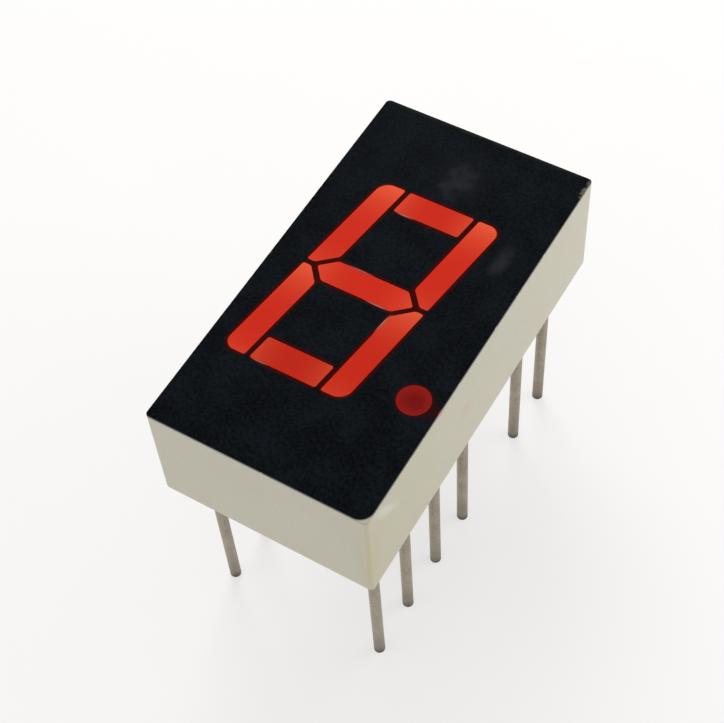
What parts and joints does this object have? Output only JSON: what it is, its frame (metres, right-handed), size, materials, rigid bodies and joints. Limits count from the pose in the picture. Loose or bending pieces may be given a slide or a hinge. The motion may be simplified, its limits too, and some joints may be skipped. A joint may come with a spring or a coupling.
{
  "type": "seven segment display",
  "caption": "Seven-segment light display for a slanted digit with a decimal point: a grey box housing with a black face, red windows and rows of long wire pins.",
  "frame": {"origin": "middle of the pin grid, on the plane of the housing's rear rim, where the part seats on a board", "axes": "+Z out of the viewing face, +Y up the digit along the longer side, +X to the digit's right"},
  "size_m": [0.0098, 0.0186, 0.0148],
  "materials": {
    "housing_plastic": "satin moulded",
    "black_face": "matte film",
    "tinted_resin": "cast, diffused",
    "point_resin": "cast, diffused",
    "board_laminate": "woven laminate",
    "plated_copper": "plated",
    "die": "sawn crystal",
    "bond_gold": "drawn wire",
    "tinned_wire": "dull tinned",
    "solder": "dull",
    "potting_resin": "poured"
  },
  "bodies": {
    "root": {"reflector_housing": "housing_plastic", "face_mask": "black_face", "circuit_board": "board_laminate", "copper_tracks": "plated_copper", "solder_joints": "solder", "back_potting": "potting_resin", "segment_a": "tinted_resin", "segment_b": "tinted_resin", "segment_c": "tinted_resin", "segment_d": "tinted_resin", "segment_e": "tinted_resin", "segment_f": "tinted_resin", "segment_g": "tinted_resin", "decimal_point": "point_resin", "led_chip_a": "die", "led_chip_b": "die", "led_chip_c": "die", "led_chip_d": "die", "led_chip_e": "die", "led_chip_f": "die", "led_chip_g": "die", "led_chip_point": "die", "bond_wire_a": "bond_gold", "bond_wire_b": "bond_gold", "bond_wire_c": "bond_gold", "bond_wire_d": "bond_gold", "bond_wire_e": "bond_gold", "bond_wire_f": "bond_gold", "bond_wire_g": "bond_gold", "bond_wire_point": "bond_gold", "pin_1": "tinned_wire", "pin_2": "tinned_wire", "pin_3": "tinned_wire", "pin_6": "tinned_wire", "pin_7": "tinned_wire", "pin_8": "tinned_wire", "pin_9": "tinned_wire", "pin_10": "tinned_wire", "pin_11": "tinned_wire", "pin_13": "tinned_wire", "pin_14": "tinned_wire"}
  },
  "joints": []
}
